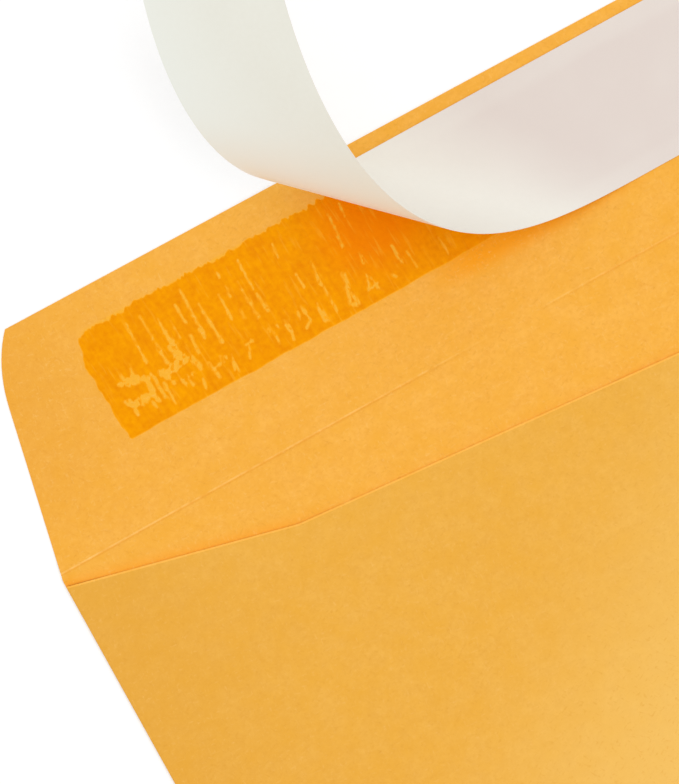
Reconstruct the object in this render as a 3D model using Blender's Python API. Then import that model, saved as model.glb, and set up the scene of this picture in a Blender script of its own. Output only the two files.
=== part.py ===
"""Open-end catalog envelope of kraft paper, lying on its address side with the seal flap opened
flat and the release liner half peeled off its adhesive band.

Metres, +Z up. The origin is the centre of the front panel's underside, X runs across the envelope
and Y runs up it, towards the seal flap. The back of the envelope, with the centre seam, faces up.
"""
import math

import bmesh
import bpy
from mathutils import Matrix, Vector

MM = 0.001

# The sheet
PAPER = 0.165 * MM
ENVELOPE_WIDTH = 228.6 * MM
ENVELOPE_LENGTH = 304.8 * MM

# The seal flap, above its fold
FLAP_HEIGHT = 44.45 * MM
FLAP_TAPER = math.radians(11.7)
FLAP_SHOULDER = 31.4 * MM
FLAP_CORNER_INSET = 12.8 * MM
FLAP_CORNER_ANGLE = math.radians(42.0)
FLAP_SKEW = math.radians(0.4)

# The mouth, cut across the side panels below the flap's fold
THROAT_SIDE_DEPTH = 2.2 * MM
THROAT_BEND_INSET = 42.7 * MM
THROAT_BEND_DEPTH = 12.8 * MM
THROAT_SLOPE = math.radians(4.9)

# The centre seam, left panel over right, and the bottom flap folded up over both
SEAM_LAP = 12.7 * MM
SEAM_RAMP = 2.5 * MM
BOTTOM_FLAP_HEIGHT = 22.0 * MM
BOTTOM_FLAP_NOTCH = 1.5 * MM
BOTTOM_FLAP_TAPER = math.radians(20.0)

# The pocket: the gap at its folds and under the flat left panel, how far the right panel bows up
# off the front, and over what length from the bottom it rises
FOLD_GAP = 0.3 * MM
POCKET_GAPE = 6.5 * MM
POCKET_RISE = 90.0 * MM

# The release liner along the flap's free edge, and the adhesive band under it
FILM_GAP = 0.3 * MM
LINER_THICKNESS = 0.1 * MM
LINER_WIDTH = 28.4 * MM
LINER_EDGE_MARGIN = 3.45 * MM
LINER_END_MARGIN = 16.0 * MM
ADHESIVE_THICKNESS = 0.1 * MM
ADHESIVE_WIDTH = 21.8 * MM
ADHESIVE_EDGE_MARGIN = 6.95 * MM
ADHESIVE_END_MARGIN = 24.1 * MM

# The peeled stretch of liner: where it leaves the adhesive, how the straight lines that it bends
# about lie to its length there, and its bending radius along its centre line at both ends
PEEL_FRONT = 108.3 * MM
PEEL_RULING = math.radians(31.4)
CURL_RADIUS_FRONT = 19.8 * MM
CURL_RADIUS_END = 79.0 * MM
CURL_STEPS = 30

# How finely the folded sheet is divided
CELL = 9.0 * MM
CORNER_STEPS = 4

SIDE = ENVELOPE_WIDTH / 2
BASE = -ENVELOPE_LENGTH / 2
FOLD = ENVELOPE_LENGTH / 2
LAP = SEAM_LAP / 2
FOLD_RADIUS = PAPER + FOLD_GAP / 2
FOLD_EASE = FOLD_RADIUS * (1 - math.cos(math.pi / 4))

# Layers between successive levels of the folded sheet, counted from the surface it lies on
FRONT, HOLLOW, RIGHT_PANEL, LEFT_PANEL, OVER_LEFT = range(5)


def clear_scene():
    for obj in list(bpy.data.objects):
        bpy.data.objects.remove(obj, do_unlink=True)


def make_material(name, colour, roughness):
    material = bpy.data.materials.new(name)
    material.use_nodes = True
    shader = material.node_tree.nodes["Principled BSDF"]
    shader.inputs["Base Color"].default_value = (*colour, 1.0)
    shader.inputs["Roughness"].default_value = roughness
    shader.inputs["Metallic"].default_value = 0.0
    return material


def make_object(name, bm, material):
    mesh = bpy.data.meshes.new(name)
    bm.to_mesh(mesh)
    bm.free()
    mesh.materials.append(material)
    obj = bpy.data.objects.new(name, mesh)
    bpy.context.collection.objects.link(obj)
    return obj


def divided(start, end, step=CELL):
    """Evenly spaced values from start up to, and without, end."""
    count = max(1, math.ceil((end - start) / step - 1e-6))
    return [start + (end - start) * k / count for k in range(count)]


def mouth_depth(x):
    """How far below the fold the mouth is cut at x; the left panel's edge reaches past the centre."""
    inset = SIDE + x if x <= LAP else SIDE - x
    if inset < THROAT_BEND_INSET:
        return THROAT_SIDE_DEPTH + (THROAT_BEND_DEPTH - THROAT_SIDE_DEPTH) * inset / THROAT_BEND_INSET
    return THROAT_BEND_DEPTH + (inset - THROAT_BEND_INSET) * math.tan(THROAT_SLOPE)


def flap_outline():
    """(inset from the side, height above the fold) up the flap's edge, from its straight taper
    through the curved shoulder to the corner."""
    start = FLAP_SHOULDER * math.tan(FLAP_TAPER)
    run, rise = FLAP_CORNER_INSET - start, FLAP_HEIGHT - FLAP_SHOULDER
    side, corner = math.tan(FLAP_TAPER), math.tan(FLAP_CORNER_ANGLE)
    bend_rise = (rise * corner - run) / (corner - side)
    bend = (start + bend_rise * side, FLAP_SHOULDER + bend_rise)
    points = [(FLAP_SHOULDER * side * t, FLAP_SHOULDER * t) for t in (0.0, 1 / 3, 2 / 3)]
    for k in range(CORNER_STEPS + 1):
        t = k / CORNER_STEPS
        a, b, c = (1 - t) ** 2, 2 * t * (1 - t), t * t
        points.append((a * start + b * bend[0] + c * FLAP_CORNER_INSET,
                       a * FLAP_SHOULDER + b * bend[1] + c * FLAP_HEIGHT))
    return points


def pocket_gap(x, y):
    """Clear height inside the pocket: least at the folds, under the left panel and at the seam,
    and most across the middle of the right panel's mouth."""
    start, end = LAP + SEAM_RAMP / 2, SIDE - PAPER
    across = math.sin(math.pi * min(1.0, max(0.0, (x - start) / (end - start)))) ** 2
    up = min(1.0, max(0.0, (y - BASE - PAPER) / POCKET_RISE))
    return FOLD_GAP + (POCKET_GAPE - FOLD_GAP) * across * up * up * (3 - 2 * up)


class SheetGrid:
    """The folded sheet's lines across (columns) and along (rows), and which cells of each layer
    hold paper. Columns and rows bend to follow the cut edges."""

    def __init__(self):
        half_end = SIDE - BOTTOM_FLAP_NOTCH - BOTTOM_FLAP_HEIGHT * math.tan(BOTTOM_FLAP_TAPER)
        bend = SIDE - THROAT_BEND_INSET
        self.columns = [-SIDE, -SIDE + PAPER]
        self.columns += divided(-half_end, -bend) + divided(-bend, -LAP - SEAM_RAMP)
        self.columns += [-LAP - SEAM_RAMP, -LAP, 0.0, LAP, LAP + SEAM_RAMP / 2]
        self.columns += divided(LAP + SEAM_RAMP / 2, bend)[1:] + divided(bend, half_end)
        self.columns += [half_end, SIDE - PAPER, SIDE]
        self.last = len(self.columns) - 1
        self.left_end, self.right_end = 2, self.last - 2
        self.lap_start = self.columns.index(-LAP)
        self.lap_end = self.columns.index(LAP)

        self.foot = [0.0, PAPER] + divided(PAPER, BOTTOM_FLAP_HEIGHT)[1:] + [BOTTOM_FLAP_HEIGHT]
        back_run = ENVELOPE_LENGTH - BOTTOM_FLAP_HEIGHT - mouth_depth(0.0)
        self.back = math.ceil(back_run / CELL)
        self.flap_top = len(self.foot) - 1
        self.mouth = self.flap_top + self.back
        self.fold = self.mouth + 2
        self.outline = flap_outline()
        self.rows = self.fold + len(self.outline)

    def place(self, i, j):
        """Where column i crosses row j."""
        x = self.columns[i]
        if j <= self.flap_top:
            y = BASE + self.foot[j]
            if i in (self.left_end, self.right_end):
                reach = SIDE - BOTTOM_FLAP_NOTCH - self.foot[j] * math.tan(BOTTOM_FLAP_TAPER)
                x = math.copysign(reach, x)
            return x, y
        mouth = FOLD - mouth_depth(x)
        if j <= self.mouth:
            start = BASE + BOTTOM_FLAP_HEIGHT
            return x, start + (mouth - start) * (j - self.flap_top) / self.back
        if j < self.fold:
            return x, (mouth + FOLD) / 2
        inset, height = self.outline[j - self.fold]
        inset += THROAT_SIDE_DEPTH / 2 * math.tan(FLAP_TAPER)
        x *= (SIDE - inset) / SIDE
        lean = 1 - math.tan(FLAP_SKEW) * (x + SIDE) / FLAP_HEIGHT
        return x, FOLD + height * lean

    def has_paper(self, i, j, layer):
        """Whether the cell between columns i and i+1, rows j and j+1 holds paper in a layer."""
        if not (0 <= i < self.last and 0 <= j < self.rows - 1):
            return False
        if layer == FRONT:
            return True
        if j >= self.mouth:
            return False
        in_flap = j < self.flap_top and self.left_end <= i < self.right_end
        in_foot = in_flap and j == 0
        left_wall, right_wall = i == 0, i == self.last - 1
        if layer == HOLLOW:
            return left_wall or right_wall or in_foot
        if layer == RIGHT_PANEL:
            return i >= self.lap_start or left_wall or in_foot
        if layer == LEFT_PANEL:
            return i < self.lap_end or in_flap
        return layer == OVER_LEFT and in_flap and i < self.lap_end

    def top_level(self, i, j):
        """The highest level that any cell round a crossing reaches."""
        around = [(i - a, j - b) for a in (0, 1) for b in (0, 1)]
        return 1 + max(k for k in range(5) if any(self.has_paper(a, b, k) for a, b in around))

    def levels(self, i, j):
        """Heights of the levels between the layers where column i crosses row j."""
        x, y = self.place(i, j)
        ceiling = PAPER + pocket_gap(x, y)
        if i >= self.lap_start:
            under_left = ceiling + PAPER
            under_right = ceiling
        else:
            ramp = max(0.0, 1 - (-LAP - x) / SEAM_RAMP)
            under_left = ceiling + PAPER * ramp
            under_right = (PAPER + under_left) / 2
        return [0.0, PAPER, under_right, under_left, under_left + PAPER, under_left + 2 * PAPER]

    def corner(self, i, j, level):
        """One point of the sheet. The outside of the side and bottom folds is eased round."""
        x, y = self.place(i, j)
        z = self.levels(i, j)[level]
        if j > self.mouth or level not in (0, self.top_level(i, j)):
            return Vector((x, y, z))
        if i in (1, self.last - 1):
            x = math.copysign(SIDE - FOLD_RADIUS, x)
        if j == 1:
            y = BASE + FOLD_RADIUS
        if i in (0, self.last):
            x = math.copysign(SIDE - FOLD_EASE, x)
        if j == 0:
            y = BASE + FOLD_EASE
        if i in (0, self.last) or j == 0:
            z += FOLD_EASE if level == 0 else -FOLD_EASE
        return Vector((x, y, z))


def folded_sheet():
    """The whole sheet as one closed solid, the faces between paper and air of its grid."""
    grid = SheetGrid()
    bm = bmesh.new()
    known = {}

    def vert(i, j, level):
        key = (i, j, level)
        if key not in known:
            known[key] = bm.verts.new(grid.corner(i, j, level))
        return known[key]

    def face(*keys):
        bm.faces.new([vert(*key) for key in keys])

    for i in range(grid.last):
        for j in range(grid.rows - 1):
            for k in range(5):
                if not grid.has_paper(i, j, k):
                    continue
                a, b, up = i + 1, j + 1, k + 1
                if k == 0 or not grid.has_paper(i, j, k - 1):
                    face((i, j, k), (a, b, k), (a, j, k))
                    face((i, j, k), (i, b, k), (a, b, k))
                if not grid.has_paper(i, j, k + 1):
                    face((i, j, up), (a, j, up), (a, b, up))
                    face((i, j, up), (a, b, up), (i, b, up))
                if not grid.has_paper(i - 1, j, k):
                    face((i, j, k), (i, j, up), (i, b, up), (i, b, k))
                if not grid.has_paper(a, j, k):
                    face((a, j, k), (a, b, k), (a, b, up), (a, j, up))
                if not grid.has_paper(i, j - 1, k):
                    face((i, j, k), (a, j, k), (a, j, up), (i, j, up))
                if not grid.has_paper(i, b, k):
                    face((i, b, k), (i, b, up), (a, b, up), (a, b, k))
    return bm


def adhesive_band():
    """A flat band centred across the flap, just clear of it."""
    length = ENVELOPE_WIDTH - 2 * ADHESIVE_END_MARGIN
    across = FOLD + FLAP_HEIGHT - ADHESIVE_EDGE_MARGIN - ADHESIVE_WIDTH / 2
    middle = Vector((0.0, across, PAPER + FILM_GAP + ADHESIVE_THICKNESS / 2))
    size = Matrix.Diagonal((length, ADHESIVE_WIDTH, ADHESIVE_THICKNESS, 1.0))
    bm = bmesh.new()
    bmesh.ops.create_cube(bm, size=1.0, matrix=Matrix.Translation(middle) @ size)
    return bm


def liner_lines():
    """(lower, upper) ends of the lines across the liner that it lies flat or bends between, from
    its stuck end to its free end. Each line past the peel front turns all that lies beyond it, so
    the strip keeps its width and length as paper does."""
    height = PAPER + 2 * FILM_GAP + ADHESIVE_THICKNESS + LINER_THICKNESS / 2
    middle = FOLD + FLAP_HEIGHT - LINER_EDGE_MARGIN - LINER_WIDTH / 2
    start, peeled = SIDE - LINER_END_MARGIN, PEEL_FRONT - LINER_END_MARGIN
    lines = [[Vector((start, middle + s * LINER_WIDTH / 2, height)) for s in (-1, 1)]]
    turn = Matrix.Identity(4)
    step = peeled / CURL_STEPS
    for k in range(CURL_STEPS + 1):
        share = k / CURL_STEPS
        centre = Vector((-SIDE + PEEL_FRONT - step * k, middle, height))
        lean = PEEL_RULING + (math.pi / 2 - PEEL_RULING) * share
        along = Vector((-math.cos(lean), math.sin(lean), 0.0))
        reach = LINER_WIDTH / 2 / math.sin(lean)
        lines.append([turn @ (centre + along * reach * s) for s in (-1, 1)])
        bend = (1 - share) / CURL_RADIUS_FRONT + share / CURL_RADIUS_END
        bent_run = step if k else step / 2
        fold = Matrix.Rotation(bend * bent_run, 4, along)
        turn = turn @ Matrix.Translation(centre) @ fold @ Matrix.Translation(-centre)
    return lines


def liner_strip():
    """The liner's middle surface, one flat quad between each pair of lines."""
    bm = bmesh.new()
    rows = [[bm.verts.new(point) for point in line] for line in liner_lines()]
    for (low, high), (next_low, next_high) in zip(rows, rows[1:]):
        bm.faces.new((low, high, next_high, next_low))
    return bm


def main():
    clear_scene()
    kraft = make_material("kraft_paper", (0.92, 0.45, 0.075), 0.8)
    adhesive = make_material("adhesive", (0.95, 0.33, 0.0), 0.3)
    silicone = make_material("release_paper", (0.82, 0.78, 0.74), 0.45)

    make_object("kraft_envelope", folded_sheet(), kraft)
    make_object("adhesive_strip", adhesive_band(), adhesive)
    liner = make_object("release_liner", liner_strip(), silicone)
    thicken = liner.modifiers.new("thickness", "SOLIDIFY")
    thicken.thickness = LINER_THICKNESS
    thicken.offset = 0.0
    thicken.use_even_offset = True


main()
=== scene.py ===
import math

import bpy
import numpy as np
from mathutils import Matrix, Vector, noise


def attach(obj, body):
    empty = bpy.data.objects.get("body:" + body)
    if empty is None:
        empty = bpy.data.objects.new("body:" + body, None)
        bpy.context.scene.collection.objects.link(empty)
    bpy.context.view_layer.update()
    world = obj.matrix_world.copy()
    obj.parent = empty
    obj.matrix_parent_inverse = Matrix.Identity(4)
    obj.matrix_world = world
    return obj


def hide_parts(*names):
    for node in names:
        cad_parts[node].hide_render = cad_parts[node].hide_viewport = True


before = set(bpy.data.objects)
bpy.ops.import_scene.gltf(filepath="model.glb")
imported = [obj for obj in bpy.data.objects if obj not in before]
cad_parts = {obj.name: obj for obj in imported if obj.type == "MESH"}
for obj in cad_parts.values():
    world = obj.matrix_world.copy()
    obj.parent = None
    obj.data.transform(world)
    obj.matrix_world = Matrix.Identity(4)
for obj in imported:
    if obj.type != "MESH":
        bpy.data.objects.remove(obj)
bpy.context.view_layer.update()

MM = 0.001

# The folded sheet, as the solid has it
PAPER = 0.165
WIDTH, LENGTH = 228.6, 304.8
SIDE, BASE, FOLD = WIDTH / 2, -LENGTH / 2, LENGTH / 2
FLAP_HEIGHT = 44.45
FLAP_TAPER = math.tan(math.radians(11.7))
FLAP_SHOULDER = 31.4
FLAP_CORNER_INSET = 12.8
FLAP_CORNER_SLOPE = math.tan(math.radians(42.0))
FLAP_SKEW = math.tan(math.radians(0.4))
THROAT_SIDE_DEPTH = 2.2
THROAT_BEND_INSET = 42.7
THROAT_BEND_DEPTH = 12.8
THROAT_SLOPE = math.tan(math.radians(4.9))
LAP = 6.35
SEAM_RAMP = 2.5
BOTTOM_FLAP_HEIGHT = 22.0
BOTTOM_FLAP_NOTCH = 1.5
BOTTOM_FLAP_TAPER = math.tan(math.radians(20.0))
FOLD_GAP = 0.3
POCKET_GAPE = 6.5
POCKET_RISE = 90.0
BOW_START, BOW_END = LAP + SEAM_RAMP / 2, SIDE - PAPER
FOLD_RADIUS = PAPER + FOLD_GAP / 2
FOLD_EASE = FOLD_RADIUS * (1 - math.cos(math.pi / 4))
LAYERS = range(5)
FRONT, HOLLOW, RIGHT_PANEL, LEFT_PANEL, OVER_LEFT = LAYERS

# The finer sheet's cells, its columns by the side folds, its rows above the bottom fold and by
# the mouth, and the steps of the flap's shoulders
CELL = 2.6
LAP_CELL, LAP_END_CELL = 0.7, 0.9
SIDE_COLUMNS = (0.0, PAPER, 0.6, 1.2, 2.2)
FOOT_ROWS = [0.0, PAPER, 0.6, 1.2]
THROAT_ROWS, SHOULDER_STEPS = 6, 10

# The left panel closes down on the front and lifts a little by the mouth's bend
REST_GAP, CLOSING = 0.03, 8.0
MOUTH_EDGE = 0.36
MOUTH_LIFT, MOUTH_LIFT_DEPTH = 0.08, 30.0
MOUTH_LIFT_FROM, MOUTH_LIFT_TO, MOUTH_LIFT_FADE = 4.0, 56.0, 14.0

# The flap's score is a groove between slightly raised sides, nearly lost on a stretch of the fold
CREASE_RISE, CREASE_SIDES, CREASE_ROOM = 0.19, 5.0, 0.85
CREASE_LOW, CREASE_BOTTOM, CREASE_HIGH = -0.24, 0.1, 0.6
CREASE_ROWS = (-4.4, -3.2, -2.0, -1.1, -0.5, CREASE_LOW, -0.07, CREASE_BOTTOM, 0.35, CREASE_HIGH,
               1.0, 1.9, 3.0, 4.4)
GROOVE_DEPTH, GROOVE_WANDER, GROOVE_LENGTH = 0.9, 0.1, 25.0
GROOVE_LOST, GROOVE_LOST_FROM, GROOVE_LOST_TO = 0.7, 74.0, 100.0
GROOVE_FADES, GROOVE_RETURNS = 10.0, 12.0

# The back is slack, in waves with ripples on them that die out by its sides, mouth and foot
WAVE_HEIGHT, WAVE_BIAS = 0.3, 0.35
WAVE_LENGTH, RIPPLE, RIPPLE_WIDTH, RIPPLE_LENGTH = 38.0, 0.5, 17.0, 23.0
STILL_BY_SIDE, STILL_BY_MOUTH, STILL_FOOT, STILL_BY_FOOT = 30.0, 25.0, 10.0, 40.0

# The adhesive film, on the flap. Places on it are (from the envelope's left side, above the fold)
FILM = 0.07
FILM_SEAT = 0.004
FILM_MENISCUS = 0.3
FILM_LEFT, FILM_RIGHT = 23.0, 204.5
FILM_LOW, FILM_HIGH = 15.75, 37.45
FILM_TILT, FILM_TILT_MIDDLE = 0.006, 60.0
FILM_HIGH_CORNER, FILM_LOW_CORNER = 3.1, 0.8
FILM_FINE, FILM_COARSE, FILM_MARGIN = 0.22, 2.4, 1.5
FILM_FINE_TO = 112.0
STROKE_SLIM, STROKE_TAPER = 0.06, 0.6

# The release liner, on the film
LINER_THICKNESS = 0.1
LINER_SEAT = 0.02
LINER_WIDTH = 28.4
LINER_MIDDLE = FOLD + FLAP_HEIGHT - 3.45 - LINER_WIDTH / 2
LINER_END = 16.0
PEEL_FRONT = 108.3
PEEL_RULING = math.radians(31.4)
CURL_FRONT, CURL_END = 1 / 19.8, 1 / 79.0
CURL_STEPS, LINER_STEPS, LINER_ACROSS = 160, 48, 18


def eased(t):
    t = min(1.0, max(0.0, t))
    return t * t * (3 - 2 * t)


def divided(start, end, step=CELL):
    """Evenly spaced values from start up to, and without, end."""
    count = max(1, math.ceil((end - start) / step - 1e-6))
    return [start + (end - start) * k / count for k in range(count)]


def make_piece(name, points, faces, kinds, materials, slot, node, sharp=40.0):
    """A smooth-shaded mesh piece, given in millimetres, that stands for a solid of the part."""
    mesh = bpy.data.meshes.new(name)
    mesh.from_pydata([tuple(c * MM for c in p) for p in points], [], faces)
    for material in materials:
        mesh.materials.append(material)
    mesh.polygons.foreach_set("material_index", kinds)
    mesh.polygons.foreach_set("use_smooth", [True] * len(faces))
    mesh.set_sharp_from_angle(angle=math.radians(sharp))
    mesh.update()
    piece = bpy.data.objects.new(name, mesh)
    bpy.context.scene.collection.objects.link(piece)
    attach(piece, "root")
    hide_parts(node)
    return piece


# The folded sheet

def mouth_depth(x):
    """How far below the fold the mouth is cut at x."""
    inset = SIDE + x if x <= LAP else SIDE - x
    if inset < THROAT_BEND_INSET:
        return THROAT_SIDE_DEPTH + (THROAT_BEND_DEPTH - THROAT_SIDE_DEPTH) * inset / THROAT_BEND_INSET
    return THROAT_BEND_DEPTH + (inset - THROAT_BEND_INSET) * THROAT_SLOPE


def flap_outline():
    """(inset from the side, height above the fold) up the flap's edge."""
    start = FLAP_SHOULDER * FLAP_TAPER
    run, rise = FLAP_CORNER_INSET - start, FLAP_HEIGHT - FLAP_SHOULDER
    bend_rise = (rise * FLAP_CORNER_SLOPE - run) / (FLAP_CORNER_SLOPE - FLAP_TAPER)
    bend = (start + bend_rise * FLAP_TAPER, FLAP_SHOULDER + bend_rise)
    points = [(h * FLAP_TAPER, h) for h in divided(CREASE_ROWS[-1], FLAP_SHOULDER)[1:]]
    for k in range(SHOULDER_STEPS + 1):
        t = k / SHOULDER_STEPS
        a, b, c = (1 - t) ** 2, 2 * t * (1 - t), t * t
        points.append((a * start + b * bend[0] + c * FLAP_CORNER_INSET,
                       a * FLAP_SHOULDER + b * bend[1] + c * FLAP_HEIGHT))
    return points


def pocket_gap(x, y):
    """Clear height inside the pocket. The right panel bows up, most across its mouth; the left
    panel and the seam lie on the front."""
    from_side, from_left = SIDE - abs(x), SIDE + x
    below_mouth = FOLD - mouth_depth(x) - y
    gap = REST_GAP + (FOLD_GAP - REST_GAP) * (1 - eased(from_side / CLOSING))
    share = min(1.0, max(0.0, (x - BOW_START) / (BOW_END - BOW_START)))
    up = eased((y - BASE - PAPER) / POCKET_RISE)
    gap += (POCKET_GAPE - FOLD_GAP) * math.sin(math.pi * share) ** 2 * up
    past_bend = (from_left - MOUTH_LIFT_TO + MOUTH_LIFT_FADE) / MOUTH_LIFT_FADE
    by_bend = eased(from_left / MOUTH_LIFT_FROM) * (1 - eased(past_bend))
    gap += MOUTH_LIFT * by_bend * (1 - eased(below_mouth / MOUTH_LIFT_DEPTH))
    slack = noise.noise(Vector((x / WAVE_LENGTH, y / WAVE_LENGTH, 0.4)))
    slack += RIPPLE * noise.noise(Vector((x / RIPPLE_WIDTH, y / RIPPLE_LENGTH, 7.7)))
    free = eased(from_side / STILL_BY_SIDE) * eased(below_mouth / STILL_BY_MOUTH)
    free *= eased((y - BASE - STILL_FOOT) / STILL_BY_FOOT)
    return gap + WAVE_HEIGHT * max(0.0, slack + WAVE_BIAS) * free


def crease_lift(x, y):
    """How far the paper stands up by the score. Its groove fades and returns along the fold."""
    away = y - FOLD
    raised = CREASE_RISE * eased(1 - abs(away) / CREASE_SIDES)
    if away < CREASE_BOTTOM:
        groove = 1 - (CREASE_BOTTOM - away) / (CREASE_BOTTOM - CREASE_LOW)
    else:
        groove = 1 - (away - CREASE_BOTTOM) / (CREASE_HIGH - CREASE_BOTTOM)
    from_left = SIDE + x
    wander = noise.noise(Vector((x / GROOVE_LENGTH + 3.1, 0.0, 0.0)))
    lost = eased((from_left - GROOVE_LOST_FROM) / GROOVE_FADES)
    lost *= 1 - eased((from_left - GROOVE_LOST_TO) / GROOVE_RETURNS)
    depth = GROOVE_DEPTH + GROOVE_WANDER * wander - GROOVE_LOST * lost
    return raised - CREASE_RISE * depth * max(0.0, groove)


class SheetGrid:
    """The folded sheet's columns and rows, and which cells of each layer hold paper."""

    def __init__(self):
        self.half_end = SIDE - BOTTOM_FLAP_NOTCH - BOTTOM_FLAP_HEIGHT * BOTTOM_FLAP_TAPER
        bend = SIDE - THROAT_BEND_INSET
        edge = [SIDE - inset for inset in SIDE_COLUMNS]
        left = [-x for x in edge] + divided(-edge[-1], -self.half_end)[1:]
        self.left_end = len(left)
        middle = divided(-self.half_end, -bend) + divided(-bend, -LAP - SEAM_RAMP)
        middle += divided(-LAP - SEAM_RAMP, -LAP, LAP_CELL) + divided(-LAP, LAP)
        middle += divided(LAP, LAP + SEAM_RAMP, LAP_END_CELL) + divided(LAP + SEAM_RAMP, bend)
        middle += divided(bend, self.half_end)
        self.columns = left + middle + [-x for x in reversed(left)]
        self.columns.insert(len(left) + len(middle), self.half_end)
        self.right_end = len(left) + len(middle)
        self.last = len(self.columns) - 1
        self.lap_start = self.columns.index(-LAP)
        self.lap_end = self.columns.index(LAP)

        self.foot = FOOT_ROWS + divided(FOOT_ROWS[-1], BOTTOM_FLAP_HEIGHT)[1:]
        self.foot.append(BOTTOM_FLAP_HEIGHT)
        back_run = LENGTH - BOTTOM_FLAP_HEIGHT - mouth_depth(0.0)
        self.back = math.ceil(back_run / CELL)
        self.flap_top = len(self.foot) - 1
        self.edge = self.flap_top + self.back
        self.mouth = self.edge + 1
        self.crease = self.mouth + THROAT_ROWS
        self.outline = flap_outline()
        self.flap = self.crease + len(CREASE_ROWS)
        self.rows = self.flap + len(self.outline)

    def place(self, i, j):
        """Where column i crosses row j."""
        x = self.columns[i]
        if j <= self.flap_top:
            reach = SIDE - BOTTOM_FLAP_NOTCH - self.foot[j] * BOTTOM_FLAP_TAPER
            rim = SIDE - PAPER
            if abs(x) <= self.half_end:
                x *= reach / self.half_end
            elif abs(x) < rim:
                share = (abs(x) - self.half_end) / (rim - self.half_end)
                x = math.copysign(reach + (rim - reach) * share, x)
            return x, BASE + self.foot[j]
        mouth = FOLD - mouth_depth(x)
        if j == self.mouth:
            return x, mouth
        if j <= self.edge:
            start = BASE + BOTTOM_FLAP_HEIGHT
            return x, start + (mouth - MOUTH_EDGE - start) * (j - self.flap_top) / self.back
        if j < self.crease:
            foot = self.crease_height(0, mouth)
            y = mouth + (FOLD + foot - mouth) * (j - self.mouth) / THROAT_ROWS
            inset = (y - FOLD) * FLAP_TAPER
        elif j < self.flap:
            height = self.crease_height(j - self.crease, mouth)
            y, inset = FOLD + height, height * FLAP_TAPER
        else:
            inset, height = self.outline[j - self.flap]
            y = FOLD + height * (1 - FLAP_SKEW * (x + SIDE) / FLAP_HEIGHT)
        inset = max(0.0, inset + THROAT_SIDE_DEPTH / 2 * FLAP_TAPER)
        return x * (SIDE - inset) / SIDE, y

    def crease_height(self, n, mouth):
        """Height of the crease's row n above the fold; its lower rows crowd up by the sides."""
        room = CREASE_ROOM * (FOLD - mouth)
        below = -CREASE_ROWS[0]
        height = CREASE_ROWS[n]
        return height * min(1.0, room / below) if height < 0 else height

    def has_paper(self, i, j, layer):
        """Whether the cell between columns i and i+1, rows j and j+1 holds paper in a layer."""
        if not (0 <= i < self.last and 0 <= j < self.rows - 1):
            return False
        if layer == FRONT:
            return True
        if j >= self.mouth:
            return False
        in_flap = j < self.flap_top and self.left_end <= i < self.right_end
        in_foot = in_flap and j == 0
        left_wall, right_wall = i == 0, i == self.last - 1
        if layer == HOLLOW:
            return left_wall or right_wall or in_foot
        if layer == RIGHT_PANEL:
            return i >= self.lap_start or left_wall or in_foot
        if layer == LEFT_PANEL:
            return i < self.lap_end or in_flap
        return layer == OVER_LEFT and in_flap and i < self.lap_end

    def top_level(self, i, j):
        """The highest level that any cell round a crossing reaches."""
        around = [(i - a, j - b) for a in (0, 1) for b in (0, 1)]
        return 1 + max(k for k in LAYERS if any(self.has_paper(a, b, k) for a, b in around))

    def levels(self, i, j):
        """Heights of the levels between the layers where column i crosses row j."""
        x, y = self.place(i, j)
        if j > self.mouth:
            lift = crease_lift(self.columns[i], y)
            return [lift, PAPER + lift]
        ceiling = PAPER + pocket_gap(x, y)
        if i >= self.lap_start:
            under_left, under_right = ceiling + PAPER, ceiling
        else:
            under_left = ceiling + PAPER * eased(1 - (-LAP - x) / SEAM_RAMP)
            under_right = (PAPER + under_left) / 2
        return [0.0, PAPER, under_right, under_left, under_left + PAPER, under_left + 2 * PAPER]

    def corner(self, i, j, level):
        """One point of the sheet. The outside of the side and bottom folds is eased round."""
        x, y = self.place(i, j)
        z = self.levels(i, j)[level]
        if j > self.mouth or level not in (0, self.top_level(i, j)):
            return x, y, z
        if i in (1, self.last - 1):
            x = math.copysign(SIDE - FOLD_RADIUS, x)
        if j == 1:
            y = BASE + FOLD_RADIUS
        if i in (0, self.last):
            x = math.copysign(SIDE - FOLD_EASE, x)
        if j == 0:
            y = BASE + FOLD_EASE
        if i in (0, self.last) or j == 0:
            z += FOLD_EASE if level == 0 else -FOLD_EASE
        return x, y, z


INSIDE, OUTSIDE, CUT = range(3)


def folded_sheet():
    """Points, faces and kinds of face of the whole sheet: the faces between paper and air."""
    grid = SheetGrid()
    points, faces, kinds, known = [], [], [], {}

    def vert(key):
        if key not in known:
            known[key] = len(points)
            points.append(grid.corner(*key))
        return known[key]

    def face(kind, *keys):
        faces.append([vert(key) for key in keys])
        kinds.append(kind)

    for i in range(grid.last):
        for j in range(grid.rows - 1):
            outer = OUTSIDE if j < grid.mouth else CUT
            for k in LAYERS:
                if not grid.has_paper(i, j, k):
                    continue
                a, b, up = i + 1, j + 1, k + 1
                if k == 0 or not grid.has_paper(i, j, k - 1):
                    face(OUTSIDE if k == 0 else INSIDE, (i, j, k), (i, b, k), (a, b, k), (a, j, k))
                if not grid.has_paper(i, j, k + 1):
                    kind = INSIDE if k == 0 else CUT if j == grid.edge else OUTSIDE
                    face(kind, (i, j, up), (a, j, up), (a, b, up), (i, b, up))
                if not grid.has_paper(i - 1, j, k):
                    face(outer if i == 0 else CUT, (i, j, k), (i, j, up), (i, b, up), (i, b, k))
                if not grid.has_paper(a, j, k):
                    kind = outer if a == grid.last else CUT
                    face(kind, (a, j, k), (a, b, k), (a, b, up), (a, j, up))
                if not grid.has_paper(i, j - 1, k):
                    kind = OUTSIDE if j == 0 else CUT
                    face(kind, (i, j, k), (a, j, k), (a, j, up), (i, j, up))
                if not grid.has_paper(i, b, k):
                    face(CUT, (i, b, k), (i, b, up), (a, b, up), (a, b, k))
    return points, faces, kinds


# The adhesive film

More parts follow.
